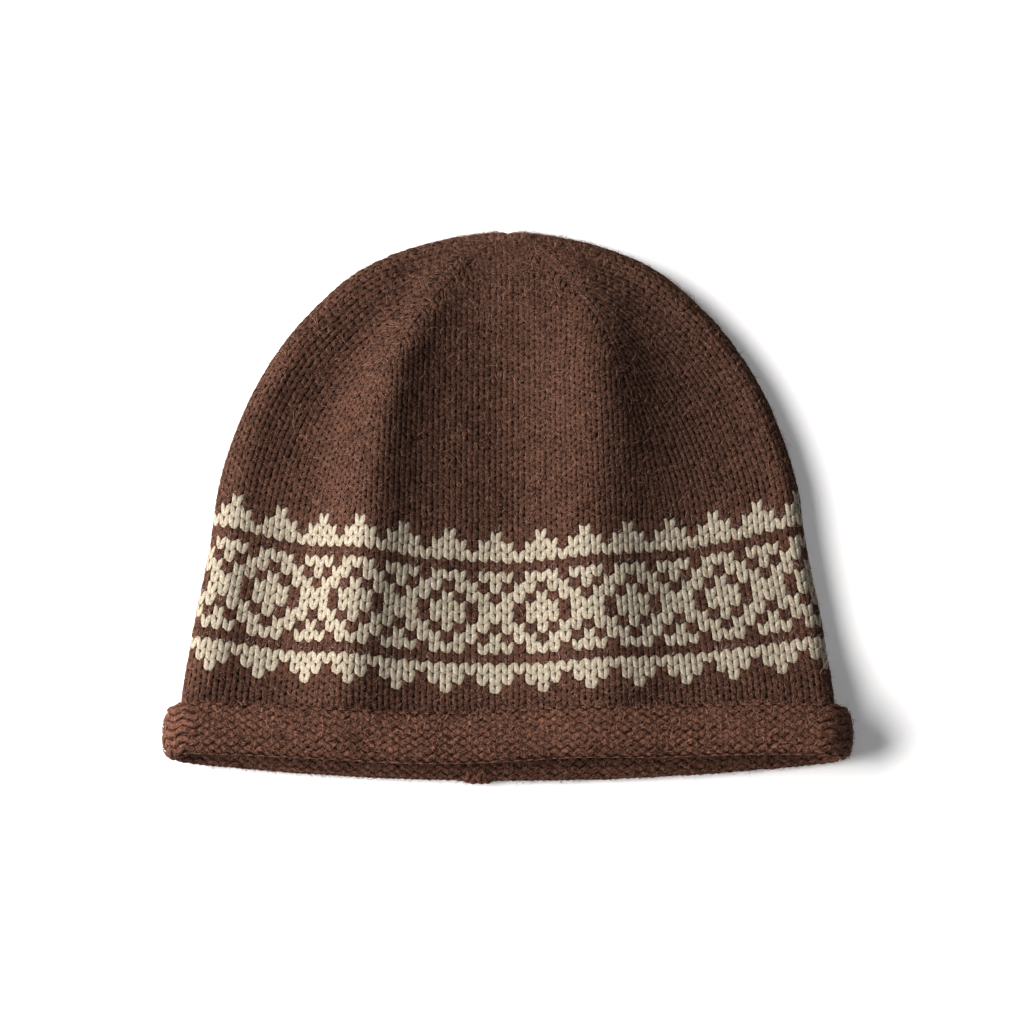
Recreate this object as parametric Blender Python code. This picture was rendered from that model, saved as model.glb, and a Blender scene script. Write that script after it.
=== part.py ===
"""Knitted wool hat with a rolled brim and a two-colour patterned band.

The hat lies on its back, as it lies in use when put down flat. Metres, +Z up
from the surface it lies on, +Y from the mouth toward the top of the crown, +X
across to the right. Three closed solids, one per zone of the knitting: the
plain crown, the patterned band and the plain strip that curls into the brim.
"""
import math

import bmesh
import bpy
import numpy as np
from mathutils import Vector

# Driving dimensions, in metres.
LENGTH = 0.191          # mouth end of the front roll to the top of the crown
HALF_WIDTH = 0.110      # half the width of the body where the roll begins
WALL = 0.0024           # thickness of the plain knitting
BAND_WALL = 0.0030      # thickness of the stranded band
EDGE_RADIUS = 0.0064    # outer radius of the fold along the sides and the top
ROLL_LIFT = 0.0069      # how far the roll under the back layer lifts the mouth
LIFT_START = 0.016      # the lift is whole up to here, measured from the mouth
LIFT_END = 0.052        # and gone from here on
ROLL_HALF_DEPTH = 0.0090    # half the depth of the roll along the hat
ROLL_HALF_HEIGHT = 0.00427  # half the height of the curl's first turn
ROLL_PITCH = 0.0033         # how much tighter each further turn is
ROLL_TURN = math.radians(410.0)
ROLL_SIDE_GAIN = -0.17      # the roll is drawn in a little at the two sides
SEAM_X = -0.0100            # where the back seam ends on the roll
SEAM_HALF_WIDTH = 0.0046
SEAM_RISE = 0.0009
SEAM_START = (25.0, 70.0)   # degrees of the curl over which the seam's end rises
SEAM_END = (105.0, 150.0)   # and over which it sinks again
PUFF = 0.0068           # how far the front layer stands above a flat lay
PUFF_START = 0.4        # it begins to rise at this share of EDGE_RADIUS from its edges
PUFF_RUN = 0.053        # and is whole this far from them
PUFF_BOW = 0.8          # how full it is between
FOLD_DEPTH = 0.0105     # height or depth of a whole fold
FOLD_START = 0.3        # folds begin at this share of EDGE_RADIUS from the edges
FOLD_RUN = 0.012        # and are whole this far from them
GAP = 0.0003            # clearance between neighbouring zones

# Side outline: share of LENGTH, share of HALF_WIDTH.
OUTLINE = (
    (-0.120, 1.002),
    (0.000, 1.002),
    (0.127, 1.000),
    (0.212, 0.986),
    (0.285, 0.970),
    (0.359, 0.946),
    (0.432, 0.926),
    (0.506, 0.912),
    (0.580, 0.882),
    (0.653, 0.838),
    (0.708, 0.796),
    (0.763, 0.741),
    (0.809, 0.685),
    (0.855, 0.615),
    (0.892, 0.550),
    (0.919, 0.493),
    (0.943, 0.424),
    (0.962, 0.347),
    (0.977, 0.269),
    (0.988, 0.192),
    (0.996, 0.110),
    (1.000, 0.000),
)

# Courses that bound the zones: share of LENGTH at the front centre, at the
# sides and at the back centre, and the power that bows the course between.
COURSES = (
    (0.0641, 0.0686, 0.0364, 2.0),   # start of the curl
    (0.1360, 0.1860, 0.1360, 2.0),   # lower edge of the band
    (0.4320, 0.5150, 0.4320, 2.0),   # upper edge of the band
    (1.0000, 1.0000, 1.0000, 1.0),   # top of the crown
)

# Folds of the front layer, each a soft ridge or valley along the hat. The first
# five columns are its line as a share of the half width, the sixth how wide it
# is as a share of it, and the last five its height as a share of FOLD_DEPTH,
# at the mouth, under the band, over the band, in the middle of the crown and
# near its top.
FOLDS = (
    (-0.80, -0.70, -0.68, -0.66, -0.58, 0.16, -0.06, -0.40, -0.50, -0.58, -0.15),
    (-0.53, -0.50, -0.47, -0.46, -0.38, 0.12, 0.40, 0.50, 0.68, 0.78, 0.15),
    (-0.10, -0.08, 0.02, 0.00, -0.10, 0.22, -0.30, -0.25, -0.48, -0.45, -0.15),
    (0.28, 0.30, 0.28, 0.36, 0.45, 0.16, 0.25, 0.40, 0.45, 0.78, 0.18),
    (0.56, 0.60, 0.60, 0.70, 0.72, 0.25, -0.25, -0.15, -0.56, -0.20, -0.05),
    (-0.94, -0.93, -0.93, -0.95, -0.90, 0.07, 0.00, 0.15, 0.15, 0.25, 0.05),
)
FOLD_STATIONS = (0.06, 0.14, 0.45, 0.72, 0.88)
FOLDS_RISE = (0.03, 0.12)     # shares of LENGTH over which the folds begin
FOLDS_FALL = (0.90, 0.985)    # and over which they end

# Height of the front layer along the hat: share of LENGTH, share of PUFF.
SWELL = (
    (0.00, 0.00),
    (0.07, 0.02),
    (0.14, 0.38),
    (0.25, 0.82),
    (0.45, 1.00),
    (0.70, 1.00),
    (0.88, 0.85),
    (1.00, 0.60),
)

# Waviness of the front roll: share of the half width, shift along the hat as a
# share of ROLL_HALF_DEPTH.
ROLL_WAVE = (
    (-1.00, 0.115),
    (-0.80, 0.077),
    (-0.55, -0.057),
    (-0.28, -0.182),
    (-0.03, -0.115),
    (0.16, 0.010),
    (0.42, 0.029),
    (0.78, 0.115),
    (1.00, 0.019),
)

# Columns of one quarter of the ring: share of the quarter where the columns
# close up toward the side fold.
EVEN_COLUMNS = 13
FOLD_COLUMNS = 4
FOLD_SHARE = 0.885

ZONE_EDGES = (1.0, 2.0)       # the courses at which one zone meets the next
EDGE_REACH = 0.02             # how near its edge a zone's last course lies
LAST_COURSE = 2.9999          # the course that is drawn together at the top
ROUND_STEP = 0.004            # steps round and along the hat that give its slopes
COURSE_STEP = 0.006

# Courses that carry rings of points: the strip down to the curl, the curl's
# angles in degrees, and the crown as shares of the way to its top.
STRIP_COURSES = (0.72, 0.44, 0.18, 0.0)
CURL_ANGLES = (24, 52, 78, 102, 130, 158, 186, 214, 240, 264, 290, 318, 350, 380)
CROWN_SHARES = (0.0, 0.075, 0.15, 0.225, 0.30, 0.375, 0.45, 0.52, 0.59, 0.655, 0.715, 0.77,
                0.82, 0.865, 0.905, 0.94, 0.968, 0.987)
BAND_RINGS = 8

WOOL_BROWN = (0.118, 0.058, 0.040)
WOOL_BAND = (0.300, 0.215, 0.150)


def spline(table, at):
    """Smooth curve through the rows of a table whose first column rises."""
    t = np.array([row[0] for row in table])
    v = np.array([row[1] for row in table])
    slope = np.gradient(v, t)
    at = np.clip(np.asarray(at, dtype=float), t[0], t[-1])
    i = np.clip(np.searchsorted(t, at) - 1, 0, len(t) - 2)
    h = t[i + 1] - t[i]
    f = (at - t[i]) / h
    a = (1 + 2 * f) * (1 - f) ** 2
    b = f * (1 - f) ** 2
    c = f * f * (3 - 2 * f)
    d = f * f * (f - 1)
    return a * v[i] + b * h * slope[i] + c * v[i + 1] + d * h * slope[i + 1]


def smooth(low, high, at):
    f = np.clip((np.asarray(at, dtype=float) - low) / (high - low), 0.0, 1.0)
    return f * f * (3 - 2 * f)


def outline_curve():
    """The right side outline as a dense run of points from mouth to apex."""
    rows = [(y * LENGTH, x * HALF_WIDTH) for y, x in OUTLINE]
    back = [(rows[-2][0], -rows[-2][1])]
    pts = np.array([rows[0]] + rows + back)
    out = []
    for i in range(1, len(pts) - 2):
        p0, p1, p2, p3 = pts[i - 1], pts[i], pts[i + 1], pts[i + 2]
        k0 = np.linalg.norm(p1 - p0) ** 0.5 + 1e-9
        k1 = np.linalg.norm(p2 - p1) ** 0.5
        k2 = np.linalg.norm(p3 - p2) ** 0.5 + 1e-9
        m1 = (p1 - p0) / k0 - (p2 - p0) / (k0 + k1) + (p2 - p1) / k1
        m2 = (p2 - p1) / k1 - (p3 - p1) / (k1 + k2) + (p3 - p2) / k2
        m1 = m1 * k1
        m2 = m2 * k1
        for f in np.linspace(0, 1, 25)[:-1]:
            a = (1 + 2 * f) * (1 - f) ** 2
            b = f * (1 - f) ** 2
            c = f * f * (3 - 2 * f)
            d = f * f * (f - 1)
            out.append(a * p1 + b * m1 + c * p2 + d * m2)
    out.append(pts[-2])
    run = np.array(out)
    return run[:, 0], run[:, 1]


EDGE_Y, EDGE_X = outline_curve()
EDGE_RUN = np.concatenate([[0.0], np.cumsum(np.hypot(np.diff(EDGE_Y), np.diff(EDGE_X)))])


def edge_distance(x, y):
    """Distance in plan from the nearest side or top outline."""
    ax, ay = EDGE_X[:-1], EDGE_Y[:-1]
    dx, dy = np.diff(EDGE_X), np.diff(EDGE_Y)
    px = np.abs(np.ravel(x))[:, None]
    py = np.ravel(y)[:, None]
    f = ((px - ax) * dx + (py - ay) * dy) / (dx * dx + dy * dy)
    f = np.clip(f, 0.0, 1.0)
    near = np.hypot(px - ax - f * dx, py - ay - f * dy).min(axis=1)
    return near.reshape(np.shape(x))


def half_width(y):
    order = np.argsort(EDGE_Y, kind="stable")
    return np.interp(y, EDGE_Y[order], EDGE_X[order])


def lift(y):
    return ROLL_LIFT * (1.0 - smooth(LIFT_START, LIFT_END, y))


def fold_height(x, y):
    share = np.asarray(y) / LENGTH
    s = np.asarray(x) / (half_width(y) + 1e-9)
    total = np.zeros(np.shape(s))
    for row in FOLDS:
        line = np.interp(share, FOLD_STATIONS, row[0:5])
        rise = np.interp(share, FOLD_STATIONS, row[6:11])
        total = total + rise * FOLD_DEPTH * np.exp(-((s - line) / row[5]) ** 2)
    return total * smooth(*FOLDS_RISE, share) * (1.0 - smooth(*FOLDS_FALL, share))


def layer_heights(x, y):
    """Outer heights of the back layer and of the front layer over a point."""
    d = edge_distance(x, y)
    f = np.clip(d / EDGE_RADIUS, 0.0, 1.0)
    rim = np.sqrt(np.clip(1.0 - (1.0 - f) ** 2, 0.0, 1.0))
    base = lift(y)
    low = base + EDGE_RADIUS * (1.0 - rim)
    swell = spline(SWELL, np.asarray(y) / LENGTH)
    inner = smooth(PUFF_START * EDGE_RADIUS, PUFF_RUN, d)
    puff = PUFF * swell * inner ** PUFF_BOW
    fold = fold_height(x, y) * smooth(FOLD_START * EDGE_RADIUS, FOLD_RUN, d)
    high = base + EDGE_RADIUS * (1.0 + rim) + puff + fold
    return low, high


def course(c):
    """Side point, front and back centre and bow of the course at c, 0 to 3."""
    c = min(max(c, 0.0), 3.0)
    i = min(int(c), 2)
    f = c - i
    a, b = COURSES[i], COURSES[i + 1]
    front = (a[0] + (b[0] - a[0]) * f) * LENGTH
    back = (a[2] + (b[2] - a[2]) * f) * LENGTH
    bow = a[3] + (b[3] - a[3]) * f
    if i < 2:
        side_y = (a[1] + (b[1] - a[1]) * f) * LENGTH
        side_x = float(half_width(side_y))
    else:
        start = np.interp(COURSES[2][1] * LENGTH, EDGE_Y, EDGE_RUN)
        run = start + (EDGE_RUN[-1] - start) * f
        side_y = float(np.interp(run, EDGE_RUN, EDGE_Y))
        side_x = float(np.interp(run, EDGE_RUN, EDGE_X))
    return side_x, side_y, front, back, bow


def ring(c, us):
    """Outer surface of the course at c, at shares u of the way round."""
    side_x, side_y, front, back, bow = course(c)
    tau = np.linspace(0.0, 1.0, 260)
    phi = 0.5 * math.pi * np.sin(0.5 * math.pi * tau)
    sn, cs = np.sin(phi), np.cos(phi)
    wave_share = max(0.0, 1.0 - c / 1.2)
    quarters = []
    for sign, centre, is_front in ((1, front, True), (1, back, False), (-1, back, False), (-1, front, True)):
        x = sign * side_x * sn
        y = side_y - (side_y - centre) * cs ** bow
        if is_front:
            wave = ROLL_HALF_DEPTH * spline(ROLL_WAVE, sign * sn) * smooth(0.0, 0.35, cs)
            y = y + wave_share * wave
        low, high = layer_heights(x, y)
        z = high if is_front else low
        pts = np.stack([x, y, z], axis=1)
        if (sign > 0) != is_front:
            pts = pts[::-1]
        quarters.append(pts)
    out = np.zeros((len(us), 3))
    for k, u in enumerate(us):
        w = (u % 1.0) * 4.0
        q = min(int(w), 3)
        out[k] = np.array([w - q, q, 0.0])
    shares = out[:, 0].copy()
    which = out[:, 1].astype(int)
    result = np.zeros((len(us), 3))
    for q in range(4):
        pts = quarters[q]
        run = np.concatenate([[0.0], np.cumsum(np.linalg.norm(np.diff(pts, axis=0), axis=1))])
        if run[-1] < 1e-9:
            run = np.linspace(0.0, 1.0, len(pts))
        pick = which == q
        at = shares[pick] * run[-1]
        for axis in range(3):
            result[pick, axis] = np.interp(at, run, pts[:, axis])
    return result


def columns():
    """Shares of the way round, closer together at the two side folds."""
    first = np.linspace(0.0, FOLD_SHARE, EVEN_COLUMNS + 1)[:-1]
    last = np.linspace(FOLD_SHARE, 1.0, FOLD_COLUMNS + 1)
    quarter = np.concatenate([first, last])
    us = []
    for q in range(4):
        part = quarter if q % 2 == 0 else 1.0 - quarter[::-1]
        us.extend((q + part[:-1]) / 4.0)
    return np.array(us)


US = columns()


def unit(v):
    return v / np.maximum(np.linalg.norm(v, axis=-1, keepdims=True), 1e-12)


def ring_and_normal(c):
    """A course's outer points and its outward normals, which two zones share at their edges."""
    level = next((edge for edge in ZONE_EDGES if abs(c - edge) < EDGE_REACH), c)
    along = ring(level, US + ROUND_STEP) - ring(level, US - ROUND_STEP)
    low, high = max(level - COURSE_STEP, 0.0), min(level + COURSE_STEP, LAST_COURSE)
    up = ring(high, US) - ring(low, US)
    return ring(c, US), unit(np.cross(along, up))


def outward(points, normals):
    """Makes sure the normals of a course point away from the hollow."""
    middle = points.mean(axis=0)
    flip = np.einsum("ij,ij->i", points - middle, normals).sum() < 0
    return -normals if flip else normals


def layers(cs, wall):
    outer, inner = [], []
    for c in cs:
        pts, nrm = ring_and_normal(c)
        nrm = outward(pts, nrm) if c < 2.95 else unit(nrm * np.sign(nrm[:, 1:2] + 1e-9))
        outer.append(pts)
        inner.append(pts - nrm * wall)
    return np.array(outer), np.array(inner)


def make_object(name, verts, faces, colour):
    mesh = bpy.data.meshes.new(name)
    mesh.from_pydata([tuple(v) for v in verts], [], faces)
    mesh.update()
    bm = bmesh.new()
    bm.from_mesh(mesh)
    bmesh.ops.remove_doubles(bm, verts=bm.verts, dist=0.00001)
    bmesh.ops.dissolve_degenerate(bm, dist=0.00001, edges=bm.edges)
    bmesh.ops.recalc_face_normals(bm, faces=bm.faces)
    if bm.calc_volume(signed=True) < 0:
        bmesh.ops.reverse_faces(bm, faces=bm.faces)
    bm.to_mesh(mesh)
    bm.free()
    obj = bpy.data.objects.new(name, mesh)
    bpy.context.scene.collection.objects.link(obj)
    mat = bpy.data.materials.new(name + "_wool")
    mat.use_nodes = True
    shader = mat.node_tree.nodes["Principled BSDF"]
    shader.inputs["Base Color"].default_value = (*colour, 1.0)
    shader.inputs["Roughness"].default_value = 0.92
    shader.inputs["Metallic"].default_value = 0.0
    mesh.materials.append(mat)
    return obj


def sheet_faces(rows, count, start, flip):
    """Quads between successive rings of a sheet."""
    faces = []
    for r in range(rows - 1):
        for k in range(count):
            a = start + r * count + k
            b = start + r * count + (k + 1) % count
            quad = (a, b, b + count, a + count)
            faces.append(quad[::-1] if flip else quad)
    return faces


def tube(outer, inner):
    """Closed body between two sheets of rings, open through the middle."""
    rows, count = outer.shape[0], outer.shape[1]
    verts = list(outer.reshape(-1, 3)) + list(inner.reshape(-1, 3))
    shift = rows * count
    faces = sheet_faces(rows, count, 0, False) + sheet_faces(rows, count, shift, True)
    for r, flip in ((0, True), (rows - 1, False)):
        for k in range(count):
            a = r * count + k
            b = r * count + (k + 1) % count
            quad = (a, b, b + shift, a + shift)
            faces.append(quad[::-1] if flip else quad)
    return verts, faces


def cap(outer, inner, outer_tip, inner_tip):
    """Closed cup: two sheets of rings, each drawn together at its tip."""
    rows, count = outer.shape[0], outer.shape[1]
    verts = list(outer.reshape(-1, 3)) + list(inner.reshape(-1, 3)) + [outer_tip, inner_tip]
    shift = rows * count
    faces = sheet_faces(rows, count, 0, False) + sheet_faces(rows, count, shift, True)
    tip_out, tip_in = 2 * shift, 2 * shift + 1
    last = (rows - 1) * count
    for k in range(count):
        n = (k + 1) % count
        faces.append((k + shift, n + shift, n, k))
        faces.append((last + k, last + n, tip_out))
        faces.append((shift + last + n, shift + last + k, tip_in))
    return verts, faces


def curl_middle(base, out_dir, theta, gain):
    """Middle of the wall along the curl, at one angle of its turn."""
    half_y = ROLL_HALF_DEPTH - ROLL_PITCH * theta / (2 * math.pi)
    half_z = ROLL_HALF_HEIGHT - ROLL_PITCH * theta / (2 * math.pi)
    along = half_y * math.sin(theta)
    rise = ROLL_HALF_HEIGHT - half_z * math.cos(theta)
    pts = base + out_dir * (rise * gain)[:, None]
    pts[:, 1] -= along
    return pts


def brim_layers():
    """Sheets of the strip and of the curl it runs into."""
    edge = GAP / (LENGTH * (COURSES[1][0] - COURSES[0][0]))
    outer, inner = layers([1.0 - edge * 0.5, *STRIP_COURSES], WALL)
    pts, nrm = ring_and_normal(0.0)
    nrm = outward(pts, nrm)
    out_dir = nrm.copy()
    out_dir[:, 1] = 0.0
    out_dir = unit(out_dir)
    base = pts - out_dir * (0.5 * WALL)
    gain = 1.0 + ROLL_SIDE_GAIN * np.abs(out_dir[:, 0]) ** 1.5
    thetas = [math.radians(a) for a in CURL_ANGLES] + [ROLL_TURN]
    seam = np.exp(-((pts[:, 0] - SEAM_X) / SEAM_HALF_WIDTH) ** 4) * (out_dir[:, 2] < -0.5)
    rows_out, rows_in = [outer[-1]], [inner[-1]]
    rows_out[0] = base + out_dir * (0.5 * WALL)
    rows_in[0] = base - out_dir * (0.5 * WALL)
    for theta in thetas:
        here = curl_middle(base, out_dir, theta, gain)
        ahead = curl_middle(base, out_dir, theta + 0.02, gain)
        tangent = unit(ahead - curl_middle(base, out_dir, theta - 0.02, gain))
        round_dir = unit(np.roll(here, -1, axis=0) - np.roll(here, 1, axis=0))
        side = unit(np.cross(round_dir, tangent))
        want = math.cos(theta) * out_dir
        want[:, 1] += math.sin(theta)
        side = side * np.sign(np.einsum("ij,ij->i", side, want))[:, None]
        span = smooth(*SEAM_START, math.degrees(theta)) * (1.0 - smooth(*SEAM_END, math.degrees(theta)))
        bump = SEAM_RISE * seam * span
        rows_out.append(here + side * (0.5 * WALL))
        rows_in.append(here - side * (0.5 * WALL + bump)[:, None])
    outer = np.concatenate([outer[:-1], np.array(rows_out)])
    inner = np.concatenate([inner[:-1], np.array(rows_in)])
    return outer, inner


for old in list(bpy.data.objects):
    bpy.data.objects.remove(old, do_unlink=True)

band_edge = 0.5 * GAP / (LENGTH * (COURSES[2][0] - COURSES[1][0]))
band_levels = np.linspace(1.0 + band_edge, 2.0 - band_edge, BAND_RINGS)
band_outer, band_inner = layers(band_levels, BAND_WALL)

crown_edge = 0.5 * GAP / (LENGTH * (1.0 - COURSES[2][0]))
crown_levels = [2.0 + crown_edge + (1.0 - crown_edge) * s for s in CROWN_SHARES]
crown_outer, crown_inner = layers(crown_levels, WALL)
apex = np.array([0.0, LENGTH, EDGE_RADIUS])
apex_inside = apex - np.array([0.0, WALL, 0.0])

brim_outer, brim_inner = brim_layers()

parts = []
verts, faces = cap(crown_outer, crown_inner, apex, apex_inside)
parts.append(make_object("crown", verts, faces, WOOL_BROWN))
verts, faces = tube(band_outer, band_inner)
parts.append(make_object("pattern_band", verts, faces, WOOL_BAND))
verts, faces = tube(brim_outer, brim_inner)
parts.append(make_object("rolled_brim", verts, faces, WOOL_BROWN))

# The middle of the footprint on the surface becomes the origin.
low = Vector((1e9, 1e9, 1e9))
high = Vector((-1e9, -1e9, -1e9))
for obj in parts:
    for v in obj.data.vertices:
        for axis in range(3):
            low[axis] = min(low[axis], v.co[axis])
            high[axis] = max(high[axis], v.co[axis])
shift = Vector((-(low.x + high.x) / 2, -(low.y + high.y) / 2, -low.z))
for obj in parts:
    for v in obj.data.vertices:
        v.co = v.co + shift
    obj.data.update()
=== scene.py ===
"""Knitted hat with a rolled brim and a two-colour band, dressed in yarn.

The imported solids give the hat's lay. Here every stitch that shows is laid on that
lay as its own piece of yarn: V stitches on the crown, the band and the strip under
it, and the reverse side's wavy courses on the brim, with the wool's fuzz over them.
"""
import math

import bpy
import numpy as np
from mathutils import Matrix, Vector


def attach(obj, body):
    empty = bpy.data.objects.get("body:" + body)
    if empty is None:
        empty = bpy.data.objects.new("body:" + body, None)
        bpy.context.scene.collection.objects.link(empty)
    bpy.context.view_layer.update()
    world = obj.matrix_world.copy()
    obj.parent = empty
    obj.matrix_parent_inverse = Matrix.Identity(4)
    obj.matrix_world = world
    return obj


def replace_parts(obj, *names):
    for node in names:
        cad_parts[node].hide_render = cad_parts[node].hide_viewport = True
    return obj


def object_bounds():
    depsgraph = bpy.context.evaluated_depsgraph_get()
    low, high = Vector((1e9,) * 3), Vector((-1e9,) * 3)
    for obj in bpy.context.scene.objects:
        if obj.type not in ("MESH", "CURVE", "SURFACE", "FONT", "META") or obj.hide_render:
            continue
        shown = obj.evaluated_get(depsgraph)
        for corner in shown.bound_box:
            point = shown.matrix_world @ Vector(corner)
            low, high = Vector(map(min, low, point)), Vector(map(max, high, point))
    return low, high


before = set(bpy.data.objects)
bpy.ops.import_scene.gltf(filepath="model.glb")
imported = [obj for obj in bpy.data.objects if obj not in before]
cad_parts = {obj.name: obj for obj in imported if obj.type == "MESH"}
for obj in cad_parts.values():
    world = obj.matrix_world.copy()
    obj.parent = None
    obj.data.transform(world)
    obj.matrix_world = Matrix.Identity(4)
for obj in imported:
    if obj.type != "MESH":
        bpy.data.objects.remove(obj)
CAD_LOW, CAD_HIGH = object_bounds()

bl_info = {
    "name": "Rolled Brim Beanie",
    "version": (1, 0, 0),
    "blender": (4, 5, 0),
    "location": "View3D > Sidebar > Beanie",
    "description": "Dresses a packed knitted hat in yarn, stitch by stitch",
    "category": "Object",
}

# The hat's lay, in metres and as shares, the same as in the solids.
LENGTH = 0.191
HALF_WIDTH = 0.110
WALL = 0.0024
BAND_WALL = 0.0030
EDGE_RADIUS = 0.0064
ROLL_LIFT = 0.0069
LIFT_START = 0.016
LIFT_END = 0.052
ROLL_HALF_DEPTH = 0.0090
ROLL_HALF_HEIGHT = 0.00427
ROLL_PITCH = 0.0033
ROLL_TURN = math.radians(410.0)
ROLL_SIDE_GAIN = -0.17
SEAM_X = -0.0100
SEAM_HALF_WIDTH = 0.0046
SEAM_RISE = 0.0009
PUFF = 0.0068
PUFF_RUN = 0.053
PUFF_START = 0.4     # where the puff starts in from the edge, in edge radii
PUFF_BOW = 0.8       # below 1, the puff rises faster at first
FOLD_DEPTH = 0.0105
FOLD_RUN = 0.012
FOLD_START = 0.3     # where the folds start in from the edge, in edge radii

OUTLINE = (
    (-0.120, 1.002), (0.000, 1.002), (0.127, 1.000), (0.212, 0.986), (0.285, 0.970),
    (0.359, 0.946), (0.432, 0.926), (0.506, 0.912), (0.580, 0.882), (0.653, 0.838),
    (0.708, 0.796), (0.763, 0.741), (0.809, 0.685), (0.855, 0.615), (0.892, 0.550),
    (0.919, 0.493), (0.943, 0.424), (0.962, 0.347), (0.977, 0.269), (0.988, 0.192),
    (0.996, 0.110), (1.000, 0.000),
)
COURSES = (
    (0.0641, 0.0686, 0.0364, 2.0),
    (0.1360, 0.1860, 0.1360, 2.0),
    (0.4320, 0.5150, 0.4320, 2.0),
    (1.0000, 1.0000, 1.0000, 1.0),
)
FOLDS = (
    (-0.80, -0.70, -0.68, -0.66, -0.58, 0.16, -0.06, -0.40, -0.50, -0.58, -0.15),
    (-0.53, -0.50, -0.47, -0.46, -0.38, 0.12, 0.40, 0.50, 0.68, 0.78, 0.15),
    (-0.10, -0.08, 0.02, 0.00, -0.10, 0.22, -0.30, -0.25, -0.48, -0.45, -0.15),
    (0.28, 0.30, 0.28, 0.36, 0.45, 0.16, 0.25, 0.40, 0.45, 0.78, 0.18),
    (0.56, 0.60, 0.60, 0.70, 0.72, 0.25, -0.25, -0.15, -0.56, -0.20, -0.05),
    (-0.94, -0.93, -0.93, -0.95, -0.90, 0.07, 0.00, 0.15, 0.15, 0.25, 0.05),
)
FOLD_STATIONS = (0.06, 0.14, 0.45, 0.72, 0.88)
FOLDS_RISE = (0.03, 0.12)
FOLDS_FALL = (0.90, 0.985)
SWELL = (
    (0.00, 0.00), (0.07, 0.02), (0.14, 0.38), (0.25, 0.82),
    (0.45, 1.00), (0.70, 1.00), (0.88, 0.85), (1.00, 0.60),
)
ROLL_WAVE = (
    (-1.00, 0.115), (-0.80, 0.077), (-0.55, -0.057), (-0.28, -0.182), (-0.03, -0.115),
    (0.16, 0.010), (0.42, 0.029), (0.78, 0.115), (1.00, 0.019),
)

# The knitting: wales round the hat, and the course at which each zone starts.
WALES = 112
QUARTER_WALES = WALES // 4
BAND_START = 7
CROWN_START = 23
CROWN_END = 69
GRID_COLUMNS = 4 * WALES
ROLL_COURSE = 0.0025     # height of one course on the roll
ROLL_GRID = 3            # grid rows to a course on the roll
FLOOR_CLEAR = 0.00005    # yarn lies on the surface, flattened, and not in it

# The band's repeat from its lowest course up: C is cream and B is brown. The
# middle of a diamond is the first stitch, which is the fourth from the front's
# middle.
CHART = (
    "CBBBCBBB",
    "CCBCCCBC",
    "CCCCCCCC",
    "BBBBBBBB",
    "CCBCCCBC",
    "BCCBCBCC",
    "CBCCBCCB",
    "CCBCCCBC",
    "CCBCCCBC",
    "CBCCBCCB",
    "BCCBCBCC",
    "CCBCCCBC",
    "BBBBBBBB",
    "CCCCCCCC",
    "CCBCCCBC",
    "CBBBCBBB",
)
CHART_SHIFT = 3


def between(f, first, first_slope, second, second_slope):
    """Smooth curve from the first value to the second, at a share of the way."""
    a = (1 + 2 * f) * (1 - f) ** 2
    b = f * (1 - f) ** 2
    c = f * f * (3 - 2 * f)
    d = f * f * (f - 1)
    return a * first + b * first_slope + c * second + d * second_slope


def spline(table, at):
    """Smooth curve through the rows of a table whose first column rises."""
    t = np.array([row[0] for row in table])
    v = np.array([row[1] for row in table])
    slope = np.gradient(v, t)
    at = np.clip(np.asarray(at, dtype=float), t[0], t[-1])
    i = np.clip(np.searchsorted(t, at) - 1, 0, len(t) - 2)
    h = t[i + 1] - t[i]
    return between((at - t[i]) / h, v[i], h * slope[i], v[i + 1], h * slope[i + 1])


def smooth(low, high, at):
    f = np.clip((np.asarray(at, dtype=float) - low) / (high - low), 0.0, 1.0)
    return f * f * (3 - 2 * f)


def unit(v):
    return v / np.maximum(np.linalg.norm(v, axis=-1, keepdims=True), 1e-12)


def outline_curve():
    """The right side outline as a dense run of points from mouth to apex."""
    rows = [(y * LENGTH, x * HALF_WIDTH) for y, x in OUTLINE]
    back = [(rows[-2][0], -rows[-2][1])]
    pts = np.array([rows[0]] + rows + back)
    out = []
    for i in range(1, len(pts) - 2):
        p0, p1, p2, p3 = pts[i - 1], pts[i], pts[i + 1], pts[i + 2]
        k0 = np.linalg.norm(p1 - p0) ** 0.5 + 1e-9
        k1 = np.linalg.norm(p2 - p1) ** 0.5
        k2 = np.linalg.norm(p3 - p2) ** 0.5 + 1e-9
        m1 = ((p1 - p0) / k0 - (p2 - p0) / (k0 + k1) + (p2 - p1) / k1) * k1
        m2 = ((p2 - p1) / k1 - (p3 - p1) / (k1 + k2) + (p3 - p2) / k2) * k1
        for f in np.linspace(0, 1, 25)[:-1]:
            out.append(between(f, p1, m1, p2, m2))
    out.append(pts[-2])
    run = np.array(out)
    return run[:, 0], run[:, 1]


EDGE_Y, EDGE_X = outline_curve()
EDGE_RUN = np.concatenate([[0.0], np.cumsum(np.hypot(np.diff(EDGE_Y), np.diff(EDGE_X)))])
EDGE_ORDER = np.argsort(EDGE_Y, kind="stable")


def edge_distance(x, y):
    """Distance in plan from the nearest side or top outline."""
    ax, ay = EDGE_X[:-1], EDGE_Y[:-1]
    dx, dy = np.diff(EDGE_X), np.diff(EDGE_Y)
    px = np.abs(np.ravel(x))[:, None]
    py = np.ravel(y)[:, None]
    f = np.clip(((px - ax) * dx + (py - ay) * dy) / (dx * dx + dy * dy), 0.0, 1.0)
    near = np.hypot(px - ax - f * dx, py - ay - f * dy).min(axis=1)
    return near.reshape(np.shape(x))


def half_width(y):
    return np.interp(y, EDGE_Y[EDGE_ORDER], EDGE_X[EDGE_ORDER])


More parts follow.
